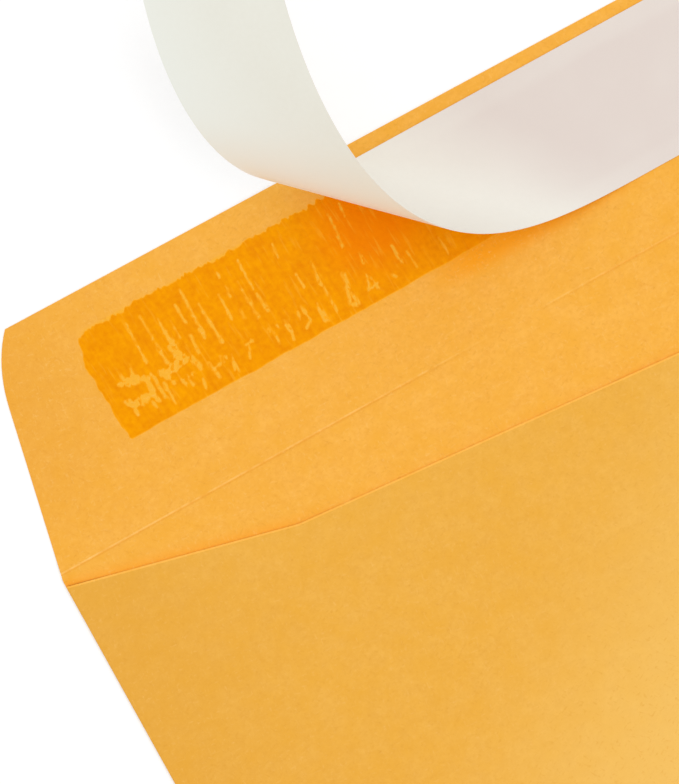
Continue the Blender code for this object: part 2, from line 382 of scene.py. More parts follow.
# Waves of the film's edges: (height, length, seed)
RAGGED_TOP = ((0.22, 3.3, 1), (0.32, 0.9, 2), (0.26, 0.4, 3))
RAGGED_LOW = ((0.12, 5.0, 4), (0.06, 1.3, 5))
RAGGED_END = ((0.6, 5.0, 6), (0.3, 1.9, 7), (0.1, 0.8, 8))

# Bare strokes that the liner pulled off the film: (start, end, width at start, width at end)
STROKES = [
    # The long ones
    ((32.9, 34.7), (32.8, 26.6), 0.35, 0.45), ((35.8, 34.7), (36.0, 24.8), 0.35, 0.6),
    ((38.4, 32.6), (38.2, 24.4), 0.45, 1.9), ((40.3, 31.2), (40.4, 27.6), 0.25, 0.3),
    ((42.4, 33.3), (42.6, 29.5), 0.45, 0.4), ((44.6, 35.5), (44.4, 25.6), 0.4, 0.6),
    ((46.3, 31.4), (46.8, 23.2), 0.5, 0.5), ((42.2, 27.1), (42.0, 23.5), 0.4, 0.3),
    ((50.4, 31.1), (50.3, 26.1), 0.5, 0.5), ((52.0, 34.7), (52.1, 33.8), 0.45, 0.3),
    ((52.3, 31.9), (52.1, 29.8), 0.45, 0.45), ((54.6, 31.6), (54.8, 24.0), 0.5, 0.5),
    ((56.4, 35.0), (56.5, 29.0), 0.45, 0.35), ((56.6, 27.9), (56.9, 24.3), 0.3, 0.5),
    ((52.4, 26.7), (52.5, 25.1), 0.5, 0.45), ((63.5, 34.5), (63.3, 31.9), 0.3, 0.35),
    ((64.6, 27.6), (64.8, 24.8), 0.3, 0.3), ((68.3, 28.4), (67.8, 23.6), 0.35, 0.5),
    ((75.2, 34.4), (74.8, 28.0), 0.4, 0.5), ((78.0, 35.2), (77.8, 32.6), 0.35, 0.25),
    ((76.8, 25.5), (76.6, 23.4), 0.35, 0.35), ((72.1, 23.6), (72.0, 21.1), 0.25, 0.35),
    ((82.7, 23.6), (82.9, 20.0), 0.35, 0.35), ((84.6, 21.4), (84.9, 17.9), 0.3, 0.35),
    ((91.0, 20.7), (91.2, 17.4), 0.35, 0.5),
    # The short ones along the low edge
    ((40.5, 23.6), (41.0, 20.6), 1.1, 0.7), ((40.4, 19.0), (40.1, 17.4), 0.45, 0.75),
    ((35.3, 21.1), (35.7, 20.7), 0.9, 0.6), ((36.8, 20.7), (37.4, 19.5), 0.9, 0.8),
    ((37.9, 21.0), (38.3, 18.9), 0.7, 0.8), ((39.2, 20.7), (39.1, 20.1), 0.8, 0.5),
    ((42.8, 21.0), (43.4, 17.6), 0.6, 0.7), ((42.7, 19.6), (45.2, 20.0), 0.6, 0.5),
    ((45.1, 21.2), (45.4, 19.8), 0.4, 0.5), ((46.0, 20.5), (45.9, 20.1), 0.6, 0.4),
    ((47.2, 20.3), (46.4, 17.6), 0.4, 0.5), ((46.9, 19.0), (46.9, 17.1), 0.3, 0.6),
    ((50.4, 20.6), (51.8, 20.7), 0.45, 0.5), ((50.9, 20.6), (49.8, 18.1), 0.4, 0.3),
    ((55.3, 21.2), (55.2, 20.6), 0.55, 0.5), ((57.0, 21.0), (57.1, 20.5), 0.5, 0.4),
    ((56.0, 20.3), (55.9, 17.8), 0.35, 0.5), ((58.3, 21.0), (58.6, 19.0), 0.5, 0.6),
    ((59.2, 20.9), (58.5, 17.4), 0.45, 0.5), ((61.6, 21.4), (61.3, 19.9), 0.45, 0.4),
    ((62.6, 22.0), (62.9, 19.0), 0.35, 0.45), ((63.0, 19.0), (61.6, 17.9), 0.45, 0.7),
    ((65.4, 20.9), (65.1, 17.8), 0.45, 0.6), ((65.0, 17.7), (65.9, 17.2), 0.6, 0.4),
    ((65.8, 19.4), (65.7, 17.4), 0.35, 0.5), ((68.1, 23.0), (68.0, 18.0), 0.35, 0.6),
    ((72.6, 23.3), (71.9, 20.3), 0.3, 0.4), ((71.9, 21.4), (70.7, 17.9), 0.45, 0.6),
    ((72.0, 19.7), (72.2, 17.5), 0.4, 0.6), ((70.7, 17.8), (72.0, 17.3), 0.6, 0.6),
    ((76.0, 21.2), (75.2, 18.5), 0.4, 0.55), ((76.4, 20.7), (76.7, 17.9), 0.4, 0.6),
    ((75.0, 18.5), (77.1, 18.9), 0.5, 0.5), ((80.2, 18.9), (80.7, 18.2), 0.5, 0.6),
    # The torn patch near the left end
    ((26.3, 25.5), (29.8, 24.9), 0.9, 1.5), ((27.4, 27.0), (27.5, 25.2), 0.4, 1.0),
    ((29.6, 27.0), (29.4, 25.2), 0.3, 0.9), ((29.8, 24.6), (31.6, 23.9), 0.7, 0.9),
    ((25.8, 22.2), (27.3, 20.7), 0.9, 1.3), ((27.3, 20.7), (31.2, 20.9), 1.3, 1.5),
    ((26.8, 20.2), (26.7, 19.0), 0.9, 0.4), ((31.1, 24.4), (31.2, 19.6), 1.2, 1.1),
    ((30.2, 19.9), (30.5, 18.4), 0.8, 0.35), ((32.5, 24.4), (32.7, 19.4), 0.5, 0.8),
    ((33.9, 24.0), (34.8, 22.7), 1.1, 1.3), ((33.7, 21.8), (33.8, 17.4), 1.1, 0.55),
    ((35.4, 23.0), (38.8, 23.8), 1.5, 1.6),
]


def wobble(t, length, seed):
    """A smooth random wander from -1 to 1, with bumps about that length apart."""
    values = np.random.default_rng(seed).uniform(-1, 1, 512)
    place = np.asarray(t) / length + 200
    cell = np.floor(place).astype(int)
    share = place - cell
    share = share * share * (3 - 2 * share)
    return values[cell % 512] * (1 - share) + values[(cell + 1) % 512] * share


def ragged(t, waves):
    """Waves of several lengths on top of each other."""
    return sum(height * wobble(t, length, seed) for height, length, seed in waves)


def film_depth(u, v):
    """About how far, in millimetres, places on the flap lie inside the film; below 0 is bare.
    Threads of gum fray the strokes' edges, and specks of it are left over in them."""
    tilt = FILM_TILT * (np.minimum(u, FILM_FINE_TO) - FILM_TILT_MIDDLE)
    high = FILM_HIGH + tilt + ragged(u, RAGGED_TOP) - v
    low = v - FILM_LOW - tilt - ragged(u, RAGGED_LOW)
    ragged_end = ragged(v, RAGGED_END)
    left, right = u - FILM_LEFT + ragged_end, FILM_RIGHT - u + ragged_end
    ends, edges = np.minimum(left, right), np.minimum(high, low)
    corner = np.where(v > (FILM_LOW + FILM_HIGH) / 2, FILM_HIGH_CORNER, FILM_LOW_CORNER)
    near = np.hypot(np.maximum(corner - ends, 0), np.maximum(corner - edges, 0))
    depth = np.where((ends < corner) & (edges < corner), corner - near, np.minimum(ends, edges))
    threads = 0.4 * wobble(u + 0.5 * wobble(v, 0.9, 9), 0.36, 10)
    threads += 0.3 * wobble(v + 0.6 * wobble(u, 0.7, 12), 0.6, 11)
    left_over = wobble(u + 0.4 * wobble(v, 0.8, 13), 0.45, 14)
    left_over *= wobble(v + 0.5 * wobble(u, 0.9, 15), 0.6, 16)
    pulled = np.full_like(depth, np.inf)
    for (u0, v0), (u1, v1), w0, w1 in STROKES:
        du, dv = u1 - u0, v1 - v0
        share = np.clip(((u - u0) * du + (v - v0) * dv) / (du * du + dv * dv), 0, 1)
        half = (w0 + (w1 - w0) * share) / 2 - STROKE_SLIM
        half *= 1 - STROKE_TAPER * np.clip(1 - share * 3, 0, 1)
        bare = np.hypot(u - u0 - du * share, v - v0 - dv * share) - half
        pulled = np.minimum(pulled, bare + threads * (0.25 + half))
    return np.minimum(depth, np.maximum(pulled, 0.6 * (left_over - 0.2)))


def adhesive_film():
    """The film as a closed skin: where its depth is above 0 its top stands off the flap, and it
    comes down to nothing at its edges. Each grid cell is two triangles, cut where depth is 0."""
    end = FILM_RIGHT + FILM_MARGIN
    us = divided(FILM_LEFT - FILM_MARGIN, FILM_FINE_TO, FILM_FINE)
    us += divided(FILM_FINE_TO, end, FILM_COARSE) + [end]
    vs = divided(FILM_LOW - FILM_MARGIN, FILM_HIGH + FILM_MARGIN, FILM_FINE)
    u, v = np.meshgrid(us, vs, indexing="ij")
    depth = film_depth(u, v)
    base = PAPER + FILM_SEAT
    height = FILM * (1 - np.exp(-np.maximum(depth, 0) / FILM_MENISCUS))
    points, faces, known = [], [], {}

    def point(key, x, y, z):
        if key not in known:
            known[key] = len(points)
            points.append((x - SIDE, y + FOLD, z))
        return known[key]

    def rim(p, q):
        """Where the edge between grid places p and q crosses depth 0."""
        p, q = sorted((p, q))
        t = depth[p] / (depth[p] - depth[q])
        return point((p, q), u[p] + (u[q] - u[p]) * t, v[p] + (v[q] - v[p]) * t, base)

    for i in range(len(us) - 1):
        for j in range(len(vs) - 1):
            a, b, c, d = (i, j), (i + 1, j), (i + 1, j + 1), (i, j + 1)
            if max(depth[a], depth[b], depth[c], depth[d]) <= 0:
                continue
            for corners in ((a, b, c), (a, c, d)):
                for top in (True, False):
                    ring = []
                    for n in range(3):
                        p, q = corners[n], corners[(n + 1) % 3]
                        if depth[p] > 0:
                            z = base + (height[p] if top else 0.0)
                            ring.append(point((p, top), u[p], v[p], z))
                        if (depth[p] > 0) != (depth[q] > 0):
                            ring.append(rim(p, q))
                    if len(ring) > 2:
                        faces.append(ring if top else ring[::-1])
    return points, faces, [0] * len(faces)


# The release liner

def liner_lines():
    """(centre, half line, normal) of the straight lines that the liner lies flat or bends on, from
    its stuck end to its free end."""
    height = PAPER + FILM + LINER_SEAT + LINER_THICKNESS / 2
    half, up = LINER_WIDTH / 2, Vector((0, 0, 1))
    front, stuck_end = -SIDE + PEEL_FRONT, SIDE - LINER_END
    slant = half / math.tan(PEEL_RULING)
    lines = []
    for k in range(LINER_STEPS):
        share = k / LINER_STEPS
        centre = Vector((stuck_end + (front - stuck_end) * share, LINER_MIDDLE, height))
        lines.append((centre, Vector((-slant * share, half, 0)), up))
    turn = Matrix.Identity(4)
    step = (PEEL_FRONT - LINER_END) / CURL_STEPS
    for k in range(CURL_STEPS + 1):
        share = k / CURL_STEPS
        centre = Vector((front - step * k, LINER_MIDDLE, height))
        lean = PEEL_RULING + (math.pi / 2 - PEEL_RULING) * share
        along = Vector((-math.cos(lean), math.sin(lean), 0.0))
        bend = (CURL_FRONT * (1 - share) + CURL_END * share) * (step if k else step / 2)
        half_turn = turn.to_3x3() @ Matrix.Rotation(bend / 2, 3, along)
        reach = turn.to_3x3() @ (along * half / math.sin(lean))
        lines.append((turn @ centre, reach, half_turn @ up))
        fold = Matrix.Rotation(bend, 4, along)
        turn = turn @ Matrix.Translation(centre) @ fold @ Matrix.Translation(-centre)
    return lines


OUTER_FACE, RELEASE_FACE, LINER_CUT = range(3)


def liner_strip():
    """Points, faces and kinds of face of the liner, ruled between its two sides."""
    lines = liner_lines()
    points, faces, kinds = [], [], []
    count = LINER_ACROSS + 1
    for centre, reach, normal in lines:
        for side in (LINER_THICKNESS / 2, -LINER_THICKNESS / 2):
            for n in range(count):
                points.append(centre + reach * (2 * n / LINER_ACROSS - 1) + normal * side)

    def at(k, n, under):
        return (2 * k + under) * count + n

    for k in range(len(lines) - 1):
        for n in range(LINER_ACROSS):
            faces.append((at(k, n, 0), at(k, n + 1, 0), at(k + 1, n + 1, 0), at(k + 1, n, 0)))
            faces.append((at(k, n, 1), at(k + 1, n, 1), at(k + 1, n + 1, 1), at(k, n + 1, 1)))
            kinds += [OUTER_FACE, RELEASE_FACE]
        far = LINER_ACROSS
        faces.append((at(k, 0, 0), at(k + 1, 0, 0), at(k + 1, 0, 1), at(k, 0, 1)))
        faces.append((at(k, far, 0), at(k, far, 1), at(k + 1, far, 1), at(k + 1, far, 0)))
        kinds += [LINER_CUT, LINER_CUT]
    end = len(lines) - 1
    for n in range(LINER_ACROSS):
        faces.append((at(0, n, 0), at(0, n, 1), at(0, n + 1, 1), at(0, n + 1, 0)))
        faces.append((at(end, n, 0), at(end, n + 1, 0), at(end, n + 1, 1), at(end, n, 1)))
        kinds += [LINER_CUT, LINER_CUT]
    return points, faces, kinds


# Materials. Texture places are the object's own, in metres, so a scale of 1000 is one per mm.
# A pair of lengths is where a change of tone starts and ends, and a share says how much of it

# The inside: a gum stain under the film, a gum smear with painted shade round the film's low edge,
# painted shade above the mouth
SOAKED_UNDER, SMEAR_AND_SHADE_SHARE = 0.5, 0.95
UNDER_ACROSS, UNDER_FROM_LEFT = (0.3, -0.5), (0.8, 3.5)
SMEAR_SHADE_ACROSS, SMEAR_SHADE_STARTS, SMEAR_SHADE_ENDS = (5.6, 1.6), (84.0, 96.0), (28.0, 10.0)
MOUTH_ACROSS, MOUTH_FROM_SIDE = (2.8, -0.4), (52.0, 38.0)
MOUTH_SHADE_MIDDLE, MOUTH_SHADE_MOST = 0.12, 0.55
# Painted shade round the flap's left end
FLAP_END, FLAP_END_NEAR, FLAP_END_SHADE = (-112.0, 185.0), (34.0, 8.0), 0.3

# The score: a painted highlight on its groove's upper slope over a painted shade line in the groove.
# Both stop on the way and start again
SCORE_HIGHLIGHT_AT, SCORE_HIGHLIGHT_ACROSS, SCORE_HIGHLIGHT_MOST = 0.3, (0.26, 0.04), (30.0, 16.0)
SCORE_SHADE_AT, SCORE_SHADE_ACROSS, SCORE_SHADE_SHARE = -0.06, (0.24, 0.02), 0.35
LINES_STOP, LINES_START, LINES_AGAIN = (96.0, 70.0), (99.0, 105.0), 0.6

# The back: painted shade, darker towards its sides; and a painted sheen, paler away from the mouth's
# left end
SIDES_WIDTH, SIDES_SHADE = 38.0, 0.28
SHEEN_TOWARDS, SHEEN_FROM, SHEEN_OVER = (0.57, -0.82, 0.0), -118.0, 52.0
SHEEN_SHARE = 0.62

# Fibres in the kraft paper: (turn in degrees, scale), two dark ones and two pale ones
FIBRES = ((28, 2300.0), (-52, 2100.0), (84, 2500.0), (-8, 2200.0))

# Painted shade of the curled liner on the gum: darker past a slanted line, and darkest round a spot
# near the peel front
CURL_SHADE_TOWARDS, CURL_SHADE_FROM, CURL_SHADE_OVER, CURL_SHADE_SHARE = (0.8, 0.6, 0.0), 72.0, (-2.0, 12.0), 0.12
CURL_SPOT_AT, CURL_SPOT_NEAR, CURL_SPOT_SHARE = (81.0, 30.0), (14.0, 4.0), 0.6

# The gum shows through the stuck liner, past a slanted line and less along the free margins
STUCK_LINE, STUCK_DROP, STUCK_OVER = math.radians(51.0), -1.2, (-13.0, 10.0)
GUMMED_ACROSS, GUMMED_LEAST, GUMMED_MOST = 1.2, 0.76, 0.9

# Painted light on the curl's release side: it grows paler down between these heights
RELEASE_LOW = (38.0, 14.0)


class Recipe:
    """A material under way: nodes are added by kind, with numbers or other nodes' outputs."""

    def __init__(self, name, **settings):
        self.material = bpy.data.materials.new(name)
        self.material.use_nodes = True
        self.tree = self.material.node_tree
        self.shader = self.tree.nodes["Principled BSDF"]
        for key, value in settings.items():
            self.shader.inputs[key.replace("_", " ")].default_value = value
        self.place = self.add("TexCoord").outputs["Object"]

    def add(self, kind, inputs=(), **attributes):
        node = self.tree.nodes.new("ShaderNode" + kind)
        for key, value in attributes.items():
            setattr(node, key, value)
        for key, value in dict(inputs).items():
            if isinstance(value, bpy.types.NodeSocket):
                self.tree.links.new(value, node.inputs[key])
            else:
                node.inputs[key].default_value = value
        return node

    def stretched(self, scale, turn=0.0):
        """The places drawn out along a direction, for fibres and strokes."""
        inputs = {"Vector": self.place, "Rotation": (0, 0, math.radians(turn)), "Scale": scale}
        return self.add("Mapping", inputs, vector_type="TEXTURE").outputs[0]

    def grain(self, scale, detail=2.0, place=None, low=0.3, high=0.7):
        """Noise spread to 0 to 1."""
        inputs = {"Vector": place or self.place, "Scale": scale, "Detail": detail}
        value = self.add("TexNoise", inputs).outputs[0]
        inputs = {"Value": value, "From Min": low, "From Max": high}
        return self.add("MapRange", inputs).outputs[0]

    def blend(self, share, a, b):
        """Colour a turned into b by a share. The node's inputs 0, 6 and 7 are those of colours."""
        node = self.add("Mix", {0: share, 6: a, 7: b}, data_type="RGBA")
        return node.outputs[2]

    def sum(self, *weighted):
        """A weighted sum of (value, weight)."""
        total = 0.0
        for value, weight in weighted:
            inputs = {0: value, 1: weight, 2: total}
            total = self.add("Math", inputs, operation="MULTIPLY_ADD").outputs[0]
        return total

    def product(self, a, b):
        return self.add("Math", {0: a, 1: b}, operation="MULTIPLY").outputs[0]

    def along(self, direction, start):
        """How far, in millimetres, a place lies along a direction, from start."""
        inputs = {0: self.place, 1: tuple(c / MM for c in direction)}
        reach = self.add("VectorMath", inputs, operation="DOT_PRODUCT").outputs["Value"]
        return self.add("Math", {0: reach, 1: start}, operation="SUBTRACT").outputs[0]

    def beyond(self, direction, x, y):
        """How far, in millimetres, a place lies along a direction from a spot on the sheet."""
        return self.along(direction, direction[0] * x + direction[1] * y)

    def from_line(self, direction, line):
        """How far, in millimetres, a place lies to either side of a line."""
        return self.add("Math", {0: self.along(direction, line)}, operation="ABSOLUTE").outputs[0]

    def from_spot(self, x, y):
        """How far, in millimetres, a place lies from a spot on the sheet."""
        inputs = {0: self.place, 1: (x * MM, y * MM, 0.0)}
        reach = self.add("VectorMath", inputs, operation="DISTANCE").outputs["Value"]
        return self.product(reach, 1 / MM)

    def least(self, a, b):
        return self.add("Math", {0: a, 1: b}, operation="MINIMUM").outputs[0]

    def ramp(self, value, start, end, low=0.0, high=1.0):
        """Low at start, high at end, smooth between."""
        inputs = {"Value": value, "From Min": start, "From Max": end, "To Min": low, "To Max": high}
        return self.add("MapRange", inputs, interpolation_type="SMOOTHSTEP").outputs[0]

    def finish(self, colour, height=None, distance=0.0, roughness=None):
        self.tree.links.new(colour, self.shader.inputs["Base Color"])
        if height is not None:
            bump = self.add("Bump", {"Height": height, "Distance": distance, "Strength": 1.0})
            self.tree.links.new(bump.outputs[0], self.shader.inputs["Normal"])
        if roughness is not None:
            self.tree.links.new(roughness, self.shader.inputs["Roughness"])
        return self.material


def stains_and_painted_shade(recipe, colour):
    """The inside's darker tones: a gum stain under the adhesive film; round its low edge by the peel
    front, partly a gum smear and partly painted shade; and painted shade just above the mouth near
    the sides."""
    middle, half = FOLD + (FILM_LOW + FILM_HIGH) / 2, (FILM_HIGH - FILM_LOW) / 2
    out, within = UNDER_ACROSS
    across = recipe.ramp(recipe.from_line((0, 1, 0), middle), half + out, half + within)
    from_left = recipe.along((1, 0, 0), FILM_LEFT - SIDE)
    under = recipe.ramp(from_left, *UNDER_FROM_LEFT, 0.0, SOAKED_UNDER)
    colour = recipe.blend(recipe.product(across, under), colour, (1.0, 0.47, 0.0, 1))

    # Round the film's low edge by the peel front: partly a gum smear, partly painted shade from the
    # liner's edge
    across = recipe.ramp(recipe.from_line((0, 1, 0), FOLD + FILM_LOW), *SMEAR_SHADE_ACROSS)
    starts = recipe.ramp(recipe.along((1, 0, 0), -SIDE), *SMEAR_SHADE_STARTS)
    ends = recipe.ramp(recipe.along((1, 0, 0), PEEL_FRONT - SIDE), *SMEAR_SHADE_ENDS)
    smear_and_shade = recipe.product(recipe.product(across, recipe.product(starts, ends)), SMEAR_AND_SHADE_SHARE)
    colour = recipe.blend(smear_and_shade, colour, (1.0, 0.38, 0.006, 1))

    # Painted shade just above the mouth, darker near the sides
    from_middle = recipe.from_line((1, 0, 0), 0.0)
    side_slope = (THROAT_BEND_DEPTH - THROAT_SIDE_DEPTH) / THROAT_BEND_INSET
    side_start = FOLD - THROAT_SIDE_DEPTH - side_slope * SIDE
    bend_start = FOLD - THROAT_BEND_DEPTH - THROAT_SLOPE * (SIDE - THROAT_BEND_INSET)
    above_side = recipe.sum((from_middle, -side_slope), (recipe.along((0, 1, 0), side_start), 1.0))
    above_bend = recipe.sum((from_middle, -THROAT_SLOPE),
                            (recipe.along((0, 1, 0), bend_start), 1.0))
    near = recipe.ramp(recipe.least(above_side, above_bend), *MOUTH_ACROSS)
    start, end = (SIDE - inset for inset in MOUTH_FROM_SIDE)
    by_side = recipe.ramp(from_middle, start, end, MOUTH_SHADE_MIDDLE, MOUTH_SHADE_MOST)
    return recipe.blend(recipe.product(near, by_side), colour, (1.0, 0.36, 0.012, 1))


def scored(recipe, colour, bright, speckle, fleck_and_shade, score):
    """The colour with the score's painted shade line in it, and the paleness with its painted
    highlight.
    """
    from_side = recipe.along((1, 0, 0), -SIDE)
    shown = recipe.sum((recipe.ramp(from_side, *LINES_STOP), 1.0),
                       (recipe.ramp(from_side, *LINES_START), LINES_AGAIN))
    fading = recipe.product(shown, score)
    highlight_strength = recipe.sum((recipe.ramp(from_side, *SCORE_HIGHLIGHT_MOST), 0.5), (speckle, 1.1))
    score_highlight = recipe.ramp(recipe.from_line((0, 1, 0), FOLD + SCORE_HIGHLIGHT_AT), *SCORE_HIGHLIGHT_ACROSS)
    score_highlight = recipe.product(recipe.product(score_highlight, highlight_strength), fading)
    score_shade = recipe.from_line((0, 1, 0), FOLD + SCORE_SHADE_AT)
    score_shade = recipe.ramp(score_shade, *SCORE_SHADE_ACROSS, 0.0, SCORE_SHADE_SHARE)
    colour = recipe.blend(recipe.product(score_shade, fading), colour, fleck_and_shade)
    return colour, recipe.sum((bright, 1.0), (score_highlight, 1.0))


# One dark colour serves for the dark fibres and for the painted shades
def kraft_material(name, dark, light, warm, fleck_and_shade, pale, score=0.0, painted_sheen=None):
    """Uncoated kraft paper: cloudy and mottled, with short dark and pale fibres lying every way.
    With a score it is the inside, with gum stains, painted shade and the score's painted highlight
    and shade lines; with a painted sheen colour it is the back, with painted shade by its sides."""
    recipe = Recipe(name, Specular_IOR_Level=0.14)
    cloud = recipe.grain(45.0, 3.0)
    mottle = recipe.grain(210.0, 2.0, low=0.35, high=0.7)
    speckle = recipe.grain(520.0, 3.0, low=0.35, high=0.65)
    fine = recipe.grain(2300.0, 2.0)
    grit = recipe.grain(1250.0, 2.0, low=0.35, high=0.65)
    tone = recipe.sum((cloud, 0.2), (speckle, 0.3), (grit, 0.3), (fine, 0.2))
    colour = recipe.blend(tone, dark, light)
    colour = recipe.blend(recipe.sum((mottle, 0.6)), colour, warm)
    if painted_sheen:
        # Painted sheen, paler away from the mouth's left end
        away = recipe.along(SHEEN_TOWARDS, SHEEN_FROM)
        share = recipe.ramp(away, 0.0, SHEEN_OVER, 0.0, SHEEN_SHARE)
        colour = recipe.blend(share, colour, painted_sheen)
        # Painted shade, darker towards the back's sides
        from_middle = recipe.from_line((1, 0, 0), 0.0)
        by_side = recipe.ramp(from_middle, SIDE - SIDES_WIDTH, SIDE, 0.0, SIDES_SHADE)
        colour = recipe.blend(by_side, colour, fleck_and_shade)
    if score:
        # Painted shade, darker round the flap's left end
        by_end = recipe.ramp(recipe.from_spot(*FLAP_END), *FLAP_END_NEAR, 0.0, FLAP_END_SHADE)
        colour = stains_and_painted_shade(recipe, recipe.blend(by_end, colour, fleck_and_shade))
    fibres = []
    for turn, scale in FIBRES:
        place = recipe.stretched((2.4, 1.0, 1.0), turn)
        fibres.append(recipe.grain(scale, 1.0, place, 0.62, 0.8))
    deep = recipe.sum((fibres[0], 0.36), (fibres[1], 0.36))
    colour = recipe.blend(deep, colour, fleck_and_shade)
    bright = recipe.sum((fibres[2], 0.3), (fibres[3], 0.3))
    if score:
        colour, bright = scored(recipe, colour, bright, speckle, fleck_and_shade, score)
    # Pale fibres, and on the inside the score's painted highlight
    colour = recipe.blend(bright, colour, pale)
    height = recipe.sum((speckle, 0.4), (fine, 0.4), (fibres[0], 0.2), (fibres[2], 0.2))
    roughness = recipe.ramp(speckle, 0.0, 1.0, 0.55, 0.68)
    return recipe.finish(colour, height, 0.02 * MM, roughness)


def adhesive_material():
    """Amber gum drawn out across the band: pale pull lines in it, and painted shade of the curled
    liner by the peel front.
    """
    recipe = Recipe("adhesive_gum", Specular_IOR_Level=0.02, IOR=1.47)
    cloud = recipe.grain(160.0, 3.0)
    lines = recipe.grain(1100.0, 2.0, recipe.stretched((1.0, 6.0, 1.0), 4.0), 0.35, 0.65)
    speckle = recipe.grain(1050.0, 3.0)
    tone = recipe.sum((cloud, 0.3), (lines, 0.25), (speckle, 0.45))
    colour = recipe.blend(tone, (0.84, 0.25, 0.0, 1), (1.0, 0.385, 0.0, 1))
    # Painted shade of the curled liner, darker past a slanted line and round a spot
    past = recipe.beyond(CURL_SHADE_TOWARDS, CURL_SHADE_FROM - SIDE, FOLD + FILM_HIGH)
    wander = recipe.sum((cloud, 5.0), (past, 1.0))
    spot = recipe.from_spot(CURL_SPOT_AT[0] - SIDE, FOLD + CURL_SPOT_AT[1])
    curl_shade = recipe.sum((recipe.ramp(wander, *CURL_SHADE_OVER), CURL_SHADE_SHARE),
                        (recipe.ramp(spot, *CURL_SPOT_NEAR), CURL_SPOT_SHARE))
    colour = recipe.blend(curl_shade, colour, (1.0, 0.232, 0.0, 1))
    pulled = recipe.grain(1700.0, 1.5, recipe.stretched((1.0, 8.0, 1.0), 3.0), 0.6, 0.75)
    thin = recipe.ramp(recipe.along((0, 0, 1), PAPER), 0.05, 0.005)
    paler = recipe.sum((pulled, 0.5), (thin, 0.85))
    colour = recipe.blend(paler, colour, (1.0, 0.43, 0.02, 1))
    height = recipe.sum((lines, 0.6), (speckle, 0.4))
    roughness = recipe.ramp(cloud, 0.0, 1.0, 0.28, 0.42)
    return recipe.finish(colour, height, 0.012 * MM, roughness)


def liner_material(name, dark, light, roughness, tooth, over_gum=None, low=None):
    """Release paper: nearly even, with a faint cloudy formation and a fine tooth. Where it is
    stuck down, the gum shows through it and turns it pinker, least along its free margins. The
    release side has painted light: it is paler where it lies low, by the gum."""
    recipe = Recipe(name, Roughness=roughness, Specular_IOR_Level=0.3)
    cloud = recipe.grain(70.0, 3.0)
    speckle = recipe.grain(1100.0, 2.0)
    colour = recipe.blend(recipe.sum((cloud, 0.6), (speckle, 0.4)), dark, light)
    if over_gum:
        away = (math.sin(STUCK_LINE), math.cos(STUCK_LINE), STUCK_DROP)
        stuck = recipe.ramp(recipe.beyond(away, PEEL_FRONT - SIDE, LINER_MIDDLE), *STUCK_OVER)
        middle, half = FOLD + (FILM_LOW + FILM_HIGH) / 2, (FILM_HIGH - FILM_LOW) / 2
        gummed = recipe.ramp(recipe.from_line((0, 1, 0), middle), half + GUMMED_ACROSS,
                             half - GUMMED_ACROSS, GUMMED_LEAST, GUMMED_MOST)
        patchy = recipe.sum((recipe.grain(55.0, 2.0), 0.2), (gummed, 1.0))
        colour = recipe.blend(recipe.product(stuck, patchy), colour, over_gum)
    # Painted light: the release side paler where it lies low
    if low:
        height = recipe.along((0, 0, 1), 0.0)
        colour = recipe.blend(recipe.ramp(height, *RELEASE_LOW), colour, low)
    return recipe.finish(colour, speckle, tooth * MM)


# The floor, lamps and camera

FLOOR_SIZE = 6000.0
FLOOR_DROP = 0.05
FLOOR_GREY, FLOOR_GLOW = 0.75, 0.3
WORLD_LIGHT = 0.895
KEY_PLACE, KEY_TARGET = (180.0, 320.0, 1050.0), (-30.0, 100.0, 0.0)
KEY_SIZE, KEY_POWER = 600.0, 1.2
FILL_PLACE, FILL_TARGET = (40.0, -80.0, 260.0), (-20.0, 90.0, 0.0)
FILL_SIZE, FILL_POWER = 150.0, 0.06
CAMERA_PLACE = (-97.37, 152.58, 618.4)
CAMERA_LOOK = (0.0713, 0.0073, -0.9974)
CAMERA_RIGHT = (0.8722, -0.4856, 0.0588)
CAMERA_LENS, CAMERA_SENSOR = 154.7, 36.0


def seen_directly(tree):
    """1 for rays from the camera, or from gloss or glass, that show the background."""
    path = tree.nodes.new("ShaderNodeLightPath")
    total = path.outputs["Is Camera Ray"]
    for name in ("Is Glossy Ray", "Is Transmission Ray"):
        node = tree.nodes.new("ShaderNodeMath")
        node.operation = "MAXIMUM"
        tree.links.new(total, node.inputs[0])
        tree.links.new(path.outputs[name], node.inputs[1])
        total = node.outputs[0]
    return total


def make_world():
    world = bpy.data.worlds.new("studio")
    bpy.context.scene.world = world
    world.use_nodes = True
    tree = world.node_tree
    strength = tree.nodes.new("ShaderNodeMapRange")
    strength.inputs["To Min"].default_value = WORLD_LIGHT
    strength.inputs["To Max"].default_value = 1.0
    tree.links.new(seen_directly(tree), strength.inputs["Value"])
    background = tree.nodes["Background"]
    background.inputs["Color"].default_value = (1, 1, 1, 1)
    tree.links.new(strength.outputs[0], background.inputs["Strength"])


